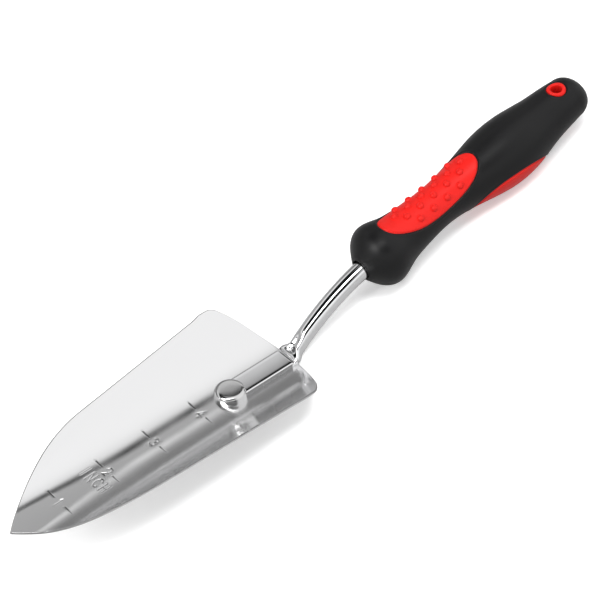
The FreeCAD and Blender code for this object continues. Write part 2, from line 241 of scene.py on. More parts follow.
def skin(name, rings, looped=False):
    """A circle primitive set on the first ring and extruded on to each of the others, then capped."""
    fresh()
    bpy.ops.mesh.primitive_circle_add(vertices=len(rings[0]), radius=1)
    made = named(name)
    bpy.ops.object.mode_set(mode="EDIT")
    bpy.ops.mesh.select_mode(type="VERT")
    bpy.ops.mesh.select_all(action="SELECT")
    mesh = bmesh.from_edit_mesh(made.data)
    mesh.verts.ensure_lookup_table()
    for vert, place in zip(mesh.verts, rings[0]):
        vert.co = place
    for before, after in zip(rings, rings[1:]):
        bpy.ops.mesh.extrude_region_move()
        mesh = bmesh.from_edit_mesh(made.data)
        index = {tuple(Vector(place).to_tuple(7)): i for i, place in enumerate(before)}
        moved = [vert for vert in mesh.verts if vert.select]
        for vert in moved:
            vert.co = after[index[vert.co.to_tuple(7)]]
    bmesh.update_edit_mesh(made.data)
    bpy.ops.mesh.select_all(action="DESELECT")
    bpy.ops.mesh.select_non_manifold(extend=False, use_wire=False, use_multi_face=False,
                                     use_non_contiguous=False, use_verts=False)
    if looped:
        bpy.ops.mesh.bridge_edge_loops()
    else:
        bpy.ops.mesh.edge_face_add()
    bpy.ops.mesh.select_all(action="SELECT")
    bpy.ops.mesh.normals_make_consistent(inside=False)
    bpy.ops.object.mode_set(mode="OBJECT")
    return made


def modify(made, kind, **settings):
    """Add a modifier, set it and apply it."""
    only(made)
    modifier = made.modifiers.new(kind.title(), kind)
    for key, setting in settings.items():
        setattr(modifier, key, setting)
    bpy.ops.object.modifier_apply(modifier=modifier.name)


def weld(made, gap):
    """Merge the vertices that lie within the gap of each other and face the piece outwards."""
    only(made)
    bpy.ops.object.mode_set(mode="EDIT")
    bpy.ops.mesh.select_all(action="SELECT")
    bpy.ops.mesh.remove_doubles(threshold=gap)
    bpy.ops.mesh.dissolve_degenerate(threshold=gap)
    bpy.ops.mesh.normals_make_consistent(inside=False)
    bpy.ops.object.mode_set(mode="OBJECT")


def join(name, first, *others):
    only(first)
    for other in others:
        other.select_set(True)
    bpy.ops.object.join()
    return named(name)


def settle(made, place, node, slot, smooth, *materials):
    """Lay a finished piece where it belongs, give it its finishes and hand it to the frame."""
    made.matrix_world = place
    only(made)
    bpy.ops.object.transform_apply(location=True, rotation=True, scale=True)
    bpy.ops.object.shade_smooth_by_angle(angle=math.radians(smooth))
    for name in materials:
        made.data.materials.append(finishes()[name])
    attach(made, ROOT_BODY)
    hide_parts(node)


def ease(step):
    """A smooth step from 0 to 1."""
    step = np.clip(step, 0, 1)
    return step * step * (3 - 2 * step)


# ---------------------------------------------------------------- finishes

STAMP_SHADE = 0.45     # painted shade: how dark a stamped stroke's recess is beside the sheet


def group(name, inputs, output, build):
    """A shader node group with float inputs, built once."""
    if name in bpy.data.node_groups:
        return bpy.data.node_groups[name]
    tree = bpy.data.node_groups.new(name, "ShaderNodeTree")
    for label, default in inputs:
        socket = tree.interface.new_socket(label, in_out="INPUT", socket_type="NodeSocketFloat")
        socket.default_value = default
    tree.interface.new_socket(output, in_out="OUTPUT", socket_type="NodeSocketFloat")
    source = tree.nodes.new("NodeGroupInput")
    sink = tree.nodes.new("NodeGroupOutput")
    build(tree, source, sink)
    return tree


def add(tree, kind, feeds, **settings):
    """A shader node: its settings, then what feeds each input, a value or another node's output."""
    node = tree.nodes.new(f"ShaderNode{kind}")
    for key, setting in settings.items():
        setattr(node, key, setting)
    for key, feed in feeds.items():
        if isinstance(feed, bpy.types.NodeSocket):
            tree.links.new(feed, node.inputs[key])
        else:
            node.inputs[key].default_value = feed
    return node


def noise(tree, scale, detail, stretch=(1, 1, 1)):
    """Noise on object coordinates, stretched along the axes."""
    where = add(tree, "TexCoord", {})
    mapping = add(tree, "Mapping", {"Vector": where.outputs["Object"], "Scale": stretch})
    feeds = {"Vector": mapping.outputs["Vector"], "Scale": scale, "Detail": detail}
    return add(tree, "TexNoise", feeds).outputs["Fac"]


def mottle_group():
    """Cloudy variation between two levels, for roughness."""
    def build(tree, source, sink):
        cloud = noise(tree, source.outputs["Scale"], 3.0)
        spread = add(tree, "MapRange", {
            "Value": cloud, "From Min": 0.35, "From Max": 0.65,
            "To Min": source.outputs["Low"], "To Max": source.outputs["High"]})
        tree.links.new(spread.outputs["Result"], sink.inputs["Level"])
    return group("Mottle", [("Scale", 60.0), ("Low", 0.2), ("High", 0.3)], "Level", build)


def grain_group():
    """Fine rolled grain along X on a cloudier waviness, as a height."""
    def build(tree, source, sink):
        lines = noise(tree, 900.0, 2.0, stretch=(0.05, 1, 1))
        waves = noise(tree, 28.0, 1.0)
        height = add(tree, "Math", {0: lines, 1: source.outputs["Lines"], 2: waves},
                     operation="MULTIPLY_ADD")
        tree.links.new(height.outputs["Value"], sink.inputs["Height"])
    return group("Rolled grain", [("Lines", 0.05)], "Height", build)


def finish(name):
    """A new material's node tree and its Principled shader."""
    material = bpy.data.materials.new(name)
    material.use_nodes = True
    return material.node_tree, material.node_tree.nodes["Principled BSDF"]


def mottle(tree, shader, scale, low, high):
    """Cloudy roughness between low and high."""
    cloud = add(tree, "Group", {"Scale": scale, "Low": low, "High": high}, node_tree=mottle_group())
    tree.links.new(cloud.outputs["Level"], shader.inputs["Roughness"])


def bump(tree, shader, height, strength, distance):
    raised = add(tree, "Bump", {"Height": height, "Strength": strength, "Distance": distance})
    tree.links.new(raised.outputs["Normal"], shader.inputs["Normal"])


def steel(name, tint, low, high, grain, wave, stamped=False):
    """Bright steel: cloudy roughness between low and high, with a faint rolled grain."""
    tree, shader = finish(name)
    shader.inputs["Base Color"].default_value = (*tint, 1)
    if stamped:
        # Painted shade: the stamp attribute darkens the stamped strokes' recesses.
        mark = add(tree, "Attribute", {}, attribute_name="stamp")
        stamp_shaded_tint = (*(STAMP_SHADE * part for part in tint), 1)
        mix = add(tree, "Mix", {"A": (*tint, 1), "B": stamp_shaded_tint, "Factor": mark.outputs["Fac"]},
                  data_type="RGBA")
        tree.links.new(mix.outputs["Result"], shader.inputs["Base Color"])
    shader.inputs["Metallic"].default_value = 1.0
    mottle(tree, shader, 45.0, low, high)
    height = add(tree, "Group", {"Lines": grain}, node_tree=grain_group())
    bump(tree, shader, height.outputs["Height"], 1.0, wave * MM)


def soft(name, tint, low, high, shine):
    """Soft-touch rubber: satin, with a fine moulded grain."""
    tree, shader = finish(name)
    shader.inputs["Base Color"].default_value = (*tint, 1)
    shader.inputs["Specular IOR Level"].default_value = shine
    mottle(tree, shader, 70.0, low, high)
    bump(tree, shader, noise(tree, 1800.0, 2.0), 0.35, 0.03 * MM)


def finishes():
    """The materials by name, made the first time they are asked for."""
    looks = sizes("looks")
    if "Blade steel" not in bpy.data.materials:
        steel("Blade steel", looks.blade, 0.16, 0.21, 0.02, 0.03, stamped=True)
        # Dark steel for painted shade on the blade's rim and the strap's sides.
        steel("Painted edge shade", looks.edge, 0.25, 0.35, 0.02, 0.01)
        steel("Rod plate", looks.rod, 0.05, 0.08, 0.004, 0.01)
        steel("Rivet steel", looks.rivet, 0.10, 0.15, 0.01, 0.01)
        soft("Grip black", looks.black, 0.36, 0.44, 0.27)
        soft("Grip red", looks.red, 0.36, 0.44, 0.25)
        soft("Moulded core", looks.core, 0.5, 0.6, 0.4)
    return bpy.data.materials


# ---------------------------------------------------------------- blade

# Figures and letters as (across, up) strokes in a box one wide and one high.
STROKES = {
    "1": [[(0.25, 0.75), (0.5, 1), (0.5, 0)]],
    "2": [[(0.1, 0.75), (0.25, 0.97), (0.6, 1), (0.85, 0.8), (0.75, 0.5), (0.1, 0), (0.9, 0)]],
    "3": [[(0.1, 0.85), (0.4, 1), (0.8, 0.88), (0.8, 0.62), (0.4, 0.52)],
          [(0.4, 0.52), (0.85, 0.4), (0.85, 0.12), (0.45, 0), (0.1, 0.12)]],
    "4": [[(0.68, 0), (0.68, 1), (0.1, 0.3), (0.95, 0.3)]],
    "I": [[(0.5, 0), (0.5, 1)]],
    "N": [[(0.12, 0), (0.12, 1), (0.88, 0), (0.88, 1)]],
    "C": [[(0.9, 0.82), (0.62, 1), (0.3, 0.94), (0.1, 0.65), (0.1, 0.35), (0.3, 0.06), (0.62, 0),
           (0.9, 0.18)]],
    "H": [[(0.12, 0), (0.12, 1)], [(0.88, 0), (0.88, 1)], [(0.12, 0.5), (0.88, 0.5)]],
}
MARKS = 4
FIGURE_HIGH, FIGURE_WIDE = 4.6 * MM, 3.0 * MM
DASH_FROM, DASH_TO = 3.4 * MM, 8.2 * MM     # out from the middle, on both sides of a figure
UNIT, UNIT_AT = "INCH", 44.0 * MM
LETTER_HIGH, LETTER_WIDE, LETTER_STEP = 5.2 * MM, 3.1 * MM, 4.3 * MM
STAMP_ROOM = 1.3 * MM       # how far round a stroke the sheet is cut small
STAMP_BURR = 0.05 * MM      # how high the metal is pushed up beside a stroke
RIVET_DENT, RIVET_DENT_REACH = 0.16 * MM, 9 * MM
RIM_GAP = 2e-7              # nearer than this to the outline, a place is on it

# How finely the blade is divided: across, round its rim, along the nose and side, over the heel.
ACROSS, ROUND_RIM, ALONG, OVER_HEEL = 57, 6, 118, 28
SQUARE_OFF = 8 * MM         # how long before the heel's corners the rows start to spread


def stamped_segments():
    """Every stamped stroke as a (start, end) pair on the blade's plan; the characters stand up along X."""
    pairs = []

    def character(sign, x, y, high, wide):
        for stroke in STROKES[sign]:
            spots = [(x + (v - 0.5) * high, y - (u - 0.5) * wide) for u, v in stroke]
            pairs.extend(zip(spots, spots[1:]))

    for number in range(1, MARKS + 1):
        x = number * sizes("blade").inch
        character(str(number), x, 0, FIGURE_HIGH, FIGURE_WIDE)
        for side in (-1, 1):
            pairs.append(((x, side * DASH_FROM), (x, side * DASH_TO)))
    for place, sign in enumerate(UNIT):
        across = ((len(UNIT) - 1) / 2 - place) * LETTER_STEP
        character(sign, UNIT_AT, across, LETTER_HIGH, LETTER_WIDE)
    return np.array(pairs)


def stroke_distance(plan, pairs):
    """How far each plan point is from the nearest stamped stroke."""
    start, way = pairs[:, 0], pairs[:, 1] - pairs[:, 0]
    nearest = np.full(len(plan), 1.0)
    for begin, run in zip(start, way):
        along = np.clip((plan - begin) @ run / (run @ run), 0, 1)
        nearest = np.minimum(nearest, np.linalg.norm(plan - begin - along[:, None] * run, axis=1))
    return nearest


def strap_end():
    """Where the strap leaves the blade."""
    return sizes("blade").length - sizes("tang").strap_lift


def rivet_at():
    return strap_end() - sizes("tang").strap_reach


def arc_centre(start, end, radius):
    """Centre of an arc of the outline, on the right of the way from start to end."""
    start, end = np.array(start), np.array(end)
    chord = end - start
    right = np.array([chord[1], -chord[0]]) / np.linalg.norm(chord)
    return (start + end) / 2 + right * math.sqrt(radius ** 2 - chord @ chord / 4)


def half_width(x):
    """Half the blade's width at x, before the heel's corners."""
    blade = sizes("blade")
    shoulder_y = blade.half_width - blade.flare
    centre = arc_centre((0, 0), (blade.shoulder, shoulder_y), blade.nose)
    nose = centre[1] + np.sqrt(np.maximum(blade.nose ** 2 - (x - centre[0]) ** 2, 0))
    straight = blade.length - blade.corner_back - blade.shoulder
    side = shoulder_y + blade.flare * (x - blade.shoulder) / straight
    return np.where(x < blade.shoulder, np.maximum(nose, 0), side)


def heel_x(y):
    """How far back the blade reaches at y: the heel's long curve and its two round corners."""
    blade = sizes("blade")
    heel_y = blade.half_width - blade.heel_inset
    heel = (heel_y ** 2 + blade.heel_back ** 2) / (2 * blade.heel_back)
    y = np.abs(y)
    long_curve = blade.length - heel + np.sqrt(heel ** 2 - np.minimum(y, heel_y) ** 2)
    side_x = blade.length - blade.corner_back
    centre = arc_centre((side_x, blade.half_width), (blade.length - blade.heel_back, heel_y),
                        blade.corner)
    corner = centre[0] + np.sqrt(np.maximum(blade.corner ** 2 - (y - centre[1]) ** 2, 0))
    return np.where(y < heel_y, long_curve, np.maximum(corner, side_x))


def trough(x, y):
    """Height of the upper face: flat floor, round bend, wings that curl up, and the rivet's dent."""
    blade = sizes("blade")
    y = np.abs(y)
    floor = blade.floor_half + blade.floor_open * ease(1 - x / blade.floor_run)
    bend = blade.trough - (floor - blade.floor_half) / math.tan(blade.wing / 2)
    bend_y = floor + bend * math.sin(blade.wing)
    bend_z = bend * (1 - math.cos(blade.wing))
    bent = bend - np.sqrt(np.maximum(bend ** 2 - np.clip(y - floor, 0, bend) ** 2, 0))
    over = np.maximum(y - bend_y, 0)
    wing = bend_z + over * math.tan(blade.wing)
    curl = blade.dish * (over / (0.5 * blade.half_width)) ** 2
    dent = RIVET_DENT * np.exp(-((x - rivet_at()) ** 2 + y ** 2) / RIVET_DENT_REACH ** 2)
    return np.where(y > bend_y, wing + curl, bent) - dent


def blade_plan():
    """Rows along the blade and columns across it, in plan, closer together at the nose and the rim."""
    blade = sizes("blade")
    turn = blade.length - blade.corner_back - SQUARE_OFF
    even = np.linspace(-1, 1, ACROSS)
    inner = 0.6 * np.sin(even * math.pi / 2) + 0.4 * even
    rim = 1 - np.cos(np.linspace(0, math.pi / 2, ROUND_RIM, endpoint=False))

    def columns(half):
        edge = min(blade.rim, 0.45 * half)
        far = half - edge * rim
        return np.concatenate([-far, inner * (half - edge), far[::-1]])

    rows = []
    for x in blade.blunt + (turn - blade.blunt) * np.linspace(0, 1, ALONG) ** 1.6:
        y = columns(float(half_width(x)))
        rows.append(np.stack([np.full_like(y, x), y], 1))
    spread = columns(blade.half_width)
    y = columns(float(half_width(turn)))
    for step in np.linspace(0, 1, OVER_HEEL)[1:]:
        wide = y + (spread - y) * min(1, step * 2.2)
        end = heel_x(wide)
        rows.append(np.stack([turn + (end - blade.rim - turn) * step, wide], 1))
    for part in rim[::-1]:
        rows.append(np.stack([heel_x(spread) - blade.rim * part, spread], 1))
    return np.array(rows)


def edge_tree(plan):
    """The blade's outline, to measure how far a place is from it."""
    outline = np.concatenate([plan[:, 0], plan[-1], plan[::-1, -1], plan[0, ::-1]])
    tree = KDTree(4 * len(outline))
    for number in range(4 * len(outline)):
        whole, part = divmod(number, 4)
        after = outline[min(whole + 1, len(outline) - 1)]
        place = outline[whole] + (after - outline[whole]) * part / 4
        tree.insert((*place, 0), number)
    tree.balance()
    return tree


def on_sheet(plan, edge, upper):
    """The sheet's upper or under face over a plan place; the two meet round the rim."""
    blade = sizes("blade")
    x, y = plan[:, 0], plan[:, 1]
    step = 0.05 * MM
    slope_x = (trough(x + step, y) - trough(x - step, y)) / (2 * step)
    slope_y = (trough(x, y + step) - trough(x, y - step)) / (2 * step)
    normal = np.stack([-slope_x, -slope_y, np.ones_like(x)], 1)
    normal /= np.linalg.norm(normal, axis=1, keepdims=True)
    part = 1 - np.clip(edge / blade.rim, 0, 1)
    half = blade.sheet / 2 * np.sqrt(1 - part ** 2)
    sink = blade.sheet / 2 - half if upper else blade.sheet / 2 + half
    return np.stack([x, y, trough(x, y)], 1) - normal * sink[:, None]


def pick_faces(made, picked):
    """Open a piece for editing with only the picked faces selected."""
    only(made)
    bpy.ops.object.mode_set(mode="EDIT")
    bpy.ops.mesh.select_mode(type="FACE")
    bpy.ops.mesh.select_all(action="DESELECT")
    mesh = bmesh.from_edit_mesh(made.data)
    for face, pick in zip(mesh.faces, picked):
        face.select = bool(pick)


def press_marks(made, pairs):
    """Cut the faces small round the stamped strokes."""
    for _ in range(3):
        middles = np.array([face.center[:2] for face in made.data.polygons])
        pick_faces(made, stroke_distance(middles, pairs) < STAMP_ROOM)
        bpy.ops.mesh.subdivide(number_cuts=1)
        bpy.ops.object.mode_set(mode="OBJECT")
        pick_faces(made, [len(face.vertices) > 4 for face in made.data.polygons])
        bpy.ops.mesh.poke()
        bpy.ops.object.mode_set(mode="OBJECT")
    middles = np.array([face.center[:2] for face in made.data.polygons])
    pick_faces(made, stroke_distance(middles, pairs) < STAMP_ROOM + 1.7 * MM)
    bpy.ops.mesh.quads_convert_to_tris(quad_method="BEAUTY")
    bpy.ops.object.mode_set(mode="OBJECT")


def fan_corners(made, tree):
    """Divide the faces at the outline's corners from their middles, so that the two faces part there."""
    on_rim = np.array([tree.find(place)[2] < RIM_GAP for place in corners(made)])
    pick_faces(made, [on_rim[list(face.vertices)].sum() > 2 for face in made.data.polygons])
    bpy.ops.mesh.poke()
    bpy.ops.object.mode_set(mode="OBJECT")


def make_blade():
    """One pressed sheet: an upper face with its stamped strokes and an under face, welded round the rim."""
    blade = sizes("blade")
    plan = blade_plan()
    tree = edge_tree(plan)
    pairs = stamped_segments()
    faces = []
    for name, upper in (("blade_top", True), ("blade_under", False)):
        made = quilt(name, np.dstack([plan, np.zeros(plan.shape[:2])]))
        fan_corners(made, tree)
        if upper:
            press_marks(made, pairs)
        at = corners(made)
        edge = np.array([tree.find(place)[2] for place in at])
        edge[edge < RIM_GAP] = 0
        spots = on_sheet(at[:, :2], edge, upper)
        mark = made.data.attributes.new("stamp", "FLOAT", "POINT")
        if upper:
            away = stroke_distance(at[:, :2], pairs) / blade.stamp_half
            spots[:, 2] -= blade.stamp_depth * (1 - ease(away))
            spots[:, 2] += STAMP_BURR * np.exp(-((away - 1.3) / 0.3) ** 2)
            # Painted shade in each stroke's recess, darkest along its middle.
            mark.data.foreach_set("value", 1 - ease(away / 1.25))
        put(made, spots)
        made.data.materials.append(finishes()["Blade steel"])
        made.data.materials.append(finishes()["Painted edge shade"])
        # Painted shade: the upper face's rounded rim takes the dark edge material, a painted dark line
        # along the rim.
        for face in made.data.polygons:
            if upper and max(edge[list(face.vertices)]) < 0.6 * blade.rim:
                face.material_index = 1
        faces.append(made)
    made = join("blade_sheet", *faces)
    weld(made, RIM_GAP)
    settle(made, trowel_place(), "blade", "blade_steel", 40)


# ---------------------------------------------------------------- tang and rivet

# Where each change on the way from strap to rod starts, by how far the strap has turned, and its run.
SWELL, CLOSE, SCOOP_IN, SCOOP_OUT = (0.16, 0.26), (0.42, 0.46), (0.3, 0.25), (1.0, 0.12)
SWELL_WIDE, SWELL_HIGH = 0.4 * MM, 1.2 * MM
SCOOP_DEEP, SCOOP_HALF = 1.2 * MM, 1.7 * MM
CREASE_AT, CREASE_RUN, CREASE_DEEP = 0.15, 0.05, 0.6 * MM

SHANK = 2.8 * MM            # the rivet's radius in strap and sheet
HEAD_FOOT = 0.1 * MM        # how far the head's side runs straight, over and under the blade's face
HEAD_CROWN = 0.62           # the head's flat top beside its whole radius
CAP = 0.3 * MM              # radius of the last small face at either end of the rivet


def tang_line():
    """Places along the tang, from the rivet to its end inside the handle: (x, z, pitch, turned).

    Turned goes from 0 to 1 through the strap's bend and on to 2 through the rod's.
    """
    tang, grip = sizes("tang"), sizes("grip")
    strap_x = strap_end()
    middle = tang.strap_thick / 2
    line = [(x, middle, 0.0, 0.0) for x in np.linspace(
        strap_x - tang.strap_reach - tang.strap_half * 0.8, strap_x, 9)[:-1]]
    for turn in np.linspace(0, tang.rod_pitch, 43):
        line.append((strap_x + tang.strap_bend * math.sin(turn),
                     middle + tang.strap_bend * (1 - math.cos(turn)), turn, turn / tang.rod_pitch))
    x, z, pitch, _ = line[-1]
    x += tang.rod_straight * math.cos(pitch)
    z += tang.rod_straight * math.sin(pitch)
    run = tang.rod_bend * (tang.rod_pitch - grip.pitch)
    for turn in np.linspace(tang.rod_pitch, grip.pitch, 40):
        gone = tang.rod_bend * (tang.rod_pitch - turn)
        line.append((x + tang.rod_bend * (math.sin(tang.rod_pitch) - math.sin(turn)),
                     z + tang.rod_bend * (math.cos(turn) - math.cos(tang.rod_pitch)),
                     turn, 1 + gone / run))
    x, z, pitch, _ = line[-1]
    for far in np.linspace(0, tang.rod_reach, 6)[1:]:
        line.append((x + far * math.cos(pitch), z + far * math.sin(pitch), pitch, 2.0))
    return line


def tang_ring(x, z, pitch, turned, count=64):
    """One section of the tang: a flat bar that swells out, then closes round into the rod.

    Each section is half a width, half a height and how square it is (2 is round).
    """
    def gone(change):
        start, run = change
        return ease((turned - start) / run)

    tang = sizes("tang")
    flat = np.array([tang.strap_half, tang.strap_thick / 2, 9.0])
    swollen = np.array([tang.strap_half + SWELL_WIDE, tang.strap_thick / 2 + SWELL_HIGH, 3.2])
    grown = min(max(turned - 1, 0), 1)
    radius = tang.rod_half + (tang.rod_root - tang.rod_half) * grown
    rod = np.array([radius, radius, 2.0])
    if turned < CLOSE[0]:
        half, high, square = flat + (swollen - flat) * gone(SWELL)
    else:
        half, high, square = swollen + (rod - swollen) * gone(CLOSE)
    way = np.linspace(0, 2 * math.pi, count, endpoint=False)
    across = half * np.sign(np.cos(way)) * np.abs(np.cos(way)) ** (2 / square)
    up = high * np.sign(np.sin(way)) * np.abs(np.sin(way)) ** (2 / square)
    scoop = SCOOP_DEEP * gone(SCOOP_IN) * (1 - gone(SCOOP_OUT))
    crease = CREASE_DEEP * math.exp(-((turned - CREASE_AT) / CREASE_RUN) ** 2)
    up -= np.where(up > 0, scoop * np.exp(-(across / SCOOP_HALF) ** 2) + crease, 0)
    return [Vector((x - u * math.sin(pitch), a, z + u * math.cos(pitch)))
            for a, u in zip(across, up)]


def make_tang():
    """The tang in one skin, the strap's two sides given the dark edge tint as painted shade."""
    made = skin("tang_rod", [tang_ring(*place) for place in tang_line()])
    strap_x = strap_end()
    # Painted shade: the strap's flat sides take the dark edge material.
    sides = [abs(face.normal.y) > 0.7 and face.center.x < strap_x for face in made.data.polygons]
    settle(made, trowel_place(), "tang", "tang_steel", 50, "Rod plate", "Painted edge shade")
    made.data.polygons.foreach_set("material_index", sides)


def ring_at(radius, z, x, count=96):
    return [Vector((x + radius * math.cos(way), radius * math.sin(way), z))
            for way in np.linspace(0, 2 * math.pi, count, endpoint=False)]


def make_rivet():
    """A domed head with a flat top, a shank through strap and sheet, and a swaged tail."""
    tang = sizes("tang")
    under = -sizes("blade").sheet
    profile = [(CAP, under - tang.tail_rise)]
    for turn in np.linspace(0, math.pi / 2, 9):
        profile.append((tang.tail - tang.tail_rise * (1 - math.sin(turn)),
                        under - tang.tail_rise * math.cos(turn)))
    profile += [(SHANK, under), (SHANK, -HEAD_FOOT), (tang.head - 0.3 * MM, -HEAD_FOOT)]
    crown = HEAD_CROWN * tang.head
    for turn in np.linspace(0, math.pi / 2, 15):
        side, top = math.cos(turn) ** 0.75, math.sin(turn) ** 0.9
        profile.append((crown + (tang.head - crown) * side,
                        HEAD_FOOT + (tang.head_rise - HEAD_FOOT) * top))
    profile += [(crown * 0.8, tang.head_rise + 0.03 * MM), (crown * 0.4, tang.head_rise + 0.05 * MM),
                (CAP, tang.head_rise + 0.05 * MM)]
    made = skin("rivet_head", [ring_at(radius, z, rivet_at()) for radius, z in profile])
    settle(made, trowel_place(), "rivet", "rivet_steel", 50, "Rivet steel")


# ---------------------------------------------------------------- grip

# Ovals along the handle: place, half width, half height, lift of the middle, in millimetres.
OVALS = np.array([
    (0.0, 5.6, 5.8, 0.0), (4.5, 11.6, 11.8, 0.0), (12.0, 15.1, 15.3, 0.0),
    (21.0, 12.7, 12.9, 0.1), (32.0, 10.8, 11.2, 0.5), (47.0, 9.8, 10.5, 0.9),
    (64.0, 11.6, 12.3, 0.2), (83.0, 15.0, 15.4, -0.7), (100.0, 14.7, 15.0, -0.8),
    (113.0, 12.4, 12.6, -0.2), (122.0, 11.3, 11.5, 0.2), (130.5, 10.3, 10.5, 0.1)]) * MM
DOME_END, DOME_DROP = 140.5 * MM, 2.2 * MM

# The sleeve's mouth as (radius over the rod's root, place along the handle), in millimetres.
NOSE_LIP = [(0.6, 2.2), (0.45, 1.2), (0.5, 0.6), (0.65, 0.25), (0.95, 0.05)]

# The hang ring's lip as (in from the ring's outside, height over the handle), in millimetres.
RING_LIP = [(0, -1.6), (0, -0.45), (0.08, -0.15), (0.3, 0.1), (0.6, 0.24), (0.95, 0.28), (1.3, 0.2),
            (1.6, -0.02), (1.8, -0.35)]


def spline(knots, values):
    """The natural cubic through the knots, as a function."""
    gaps, rises = np.diff(knots), np.diff(values)
    count = len(knots)
    system, right = np.eye(count), np.zeros(count)
    for i in range(1, count - 1):
        system[i, i - 1:i + 2] = gaps[i - 1], 2 * (gaps[i - 1] + gaps[i]), gaps[i]
        right[i] = 6 * (rises[i] / gaps[i] - rises[i - 1] / gaps[i - 1])
    bend = np.linalg.solve(system, right)

    def at(x):
        i = np.clip(np.searchsorted(knots, x) - 1, 0, count - 2)
        a, b = knots[i + 1] - x, x - knots[i]
        gap = gaps[i]
        return ((bend[i] * a ** 3 + bend[i + 1] * b ** 3) / (6 * gap)
                + (values[i] / gap - bend[i] * gap / 6) * a
                + (values[i + 1] / gap - bend[i + 1] * gap / 6) * b)
    return at


OVAL_AT = [spline(OVALS[:, 0], OVALS[:, column]) for column in (1, 2, 3)]


def oval_at(along):
    """Half width, half height and lift of the handle: the ovals, then a round end."""
    start = OVALS[-1, 0]
    half, high, lift = (read(np.minimum(along, start)) for read in OVAL_AT)
    past = np.clip((along - start) / (DOME_END - start), 0, 1)
    shrink = np.sqrt(np.maximum(1 - past ** 2, 1e-8))
    return half * shrink, high * shrink, lift - DOME_DROP * past ** 2


def form(along, way):
    """A point of the handle's outside; way runs from 0 on top to pi underneath, on the -Y side."""
    half, high, lift = oval_at(along)
    return np.stack([along + 0 * way, -half * np.sin(way), lift + high * np.cos(way)], -1)


def outward(along, way):
    """The outside's normal there."""
    step = 0.05 * MM
    along_in = np.clip(along, step, DOME_END - 2 * step)
    lengthwise = form(along_in + step, way) - form(along_in - step, way)
    half, high, _ = oval_at(along_in)
    around = np.stack([0 * way, -half * np.cos(way), -high * np.sin(way)], -1)
    normal = np.cross(around, lengthwise)
    size = np.linalg.norm(normal, axis=-1, keepdims=True)
    return normal / np.maximum(size, 1e-12)


def edge_way(along, height):
    """Where the outside is at that height above the axis, as a way round from the top."""
    _, high, lift = oval_at(along)
    return np.arccos(np.clip((height - lift) / high, -1, 1))


def thumb_edge(along):
    """The thumb pad's edge: a round sweep seen from the side."""
    grip = sizes("grip")
    reach = np.abs(along - grip.pad_at)
    drop = np.sqrt(np.maximum(grip.pad_sweep ** 2 - reach ** 2, 0))
    way = edge_way(along, grip.pad_low + grip.pad_sweep - drop)
    return np.where(reach < grip.pad_sweep, way, 0)


def finger_edge(along):
    """The finger pad's edge, an oval seen from the side, as a way round from underneath."""
    grip = sizes("grip")
    part = np.clip(1 - ((along - grip.finger_at) / grip.finger_half) ** 2, 0, 1)
    height = -grip.finger_drop + grip.finger_rise * np.sqrt(part)
    return np.where(part > 0, math.pi - edge_way(along, height), 0)


def ring_edge(along):
    """The hang ring's outside, as a way round from the top."""
    grip = sizes("grip")
    half, _, _ = oval_at(along)
    chord = np.sqrt(np.maximum(grip.ring ** 2 - (along - grip.hang_at) ** 2, 0))
    return np.arcsin(np.clip(chord / half, 0, 1))


def span(edge, low, high):
    """The stretch of the handle over which an edge is open."""
    places = np.linspace(low, high, 4001)
    open_places = places[edge(places) > 1e-6]
    return open_places[0], open_places[-1]


def spans():
    """From where to where along the handle each window in the sleeve is open."""
    grip = sizes("grip")
    return {
        "thumb": span(thumb_edge, 8 * MM, 90 * MM),
        "finger": span(finger_edge, 50 * MM, 120 * MM),
        "ring": (grip.hang_at - grip.ring, grip.hang_at + grip.ring),
    }


def crowded(low, high, count):
    """Steps from low to high, closer together at both ends."""
    return low + (high - low) * (0.5 - 0.5 * np.cos(np.linspace(0, math.pi, count)))


def seam_tree():
    """Every seam between two colours, as points to measure from."""
    found, points = spans(), []
    for name, edge, under in (("thumb", thumb_edge, False), ("finger", finger_edge, True),
                              ("ring", ring_edge, False), ("ring", ring_edge, True)):
        along = crowded(*found[name], 500)
        way = edge(along)
        points.append(form(along, math.pi - way if under else way))
    places = np.concatenate(points)
    tree = KDTree(len(places))
    for number, place in enumerate(places):
        tree.insert((place[0], -abs(place[1]), place[2]), number)
    tree.balance()
    return tree


def grooved(along, way, proud=0.0):
    """The outside with its seams pressed in, and a low bead beside them if it stands proud."""
    grip = sizes("grip")
    places, normals = form(along, way), outward(along, way)
    tree = seam_tree()
    flat = places.reshape(-1, 3)
    gap = np.array([tree.find((p[0], -abs(p[1]), p[2]))[2] for p in flat]).reshape(along.shape)
    dip = -grip.seam_depth * np.exp(-(gap / grip.seam_half) ** 2)
    bead = proud * np.exp(-((gap - 2.6 * grip.seam_half) / (1.6 * grip.seam_half)) ** 2)
    return places + normals * (dip + bead)[..., None]


def rows_along(low, high, step, marks):
    """Places from low to high, crowded where a window opens or closes."""
    places = set(np.linspace(low, high, int((high - low) / step) + 1))
    for mark in marks:
        for part in np.linspace(0, 1, 9):
            places.update((mark - 1.6 * MM * part ** 2, mark + 1.6 * MM * part ** 2))
    kept = sorted(p for p in places if low <= p <= high)
    return np.array([p for p, before in zip(kept, [-1.0] + kept) if p - before > 2e-6])


def strip(name, along, top, bottom, count, proud=0.0, lip=None):
    """The outside between two ways round on the -Y side, mirrored whole and given its thickness."""
    steps = crowded(0, 1, count)
    way = top[:, None] + (bottom - top)[:, None] * steps[None, :]
    grid = grooved(np.repeat(along[:, None], count, 1), way, proud)
    grid[..., 1] = np.minimum(grid[..., 1], 0)
    if lip is not None:
        grid = np.concatenate([lip(way[0]), grid])
    made = quilt(name, grid)
    modify(made, "MIRROR", use_axis=(False, True, False), merge_threshold=1e-6)
    weld(made, 3e-6)
    centre = Vector((float(along.mean()), 0, 0))
    faces = made.data.polygons
    if sum((f.center - centre).dot(f.normal) * f.area for f in faces) < 0:
        made.data.flip_normals()
    modify(made, "SOLIDIFY", thickness=sizes("grip").skin, offset=-1)
    return made


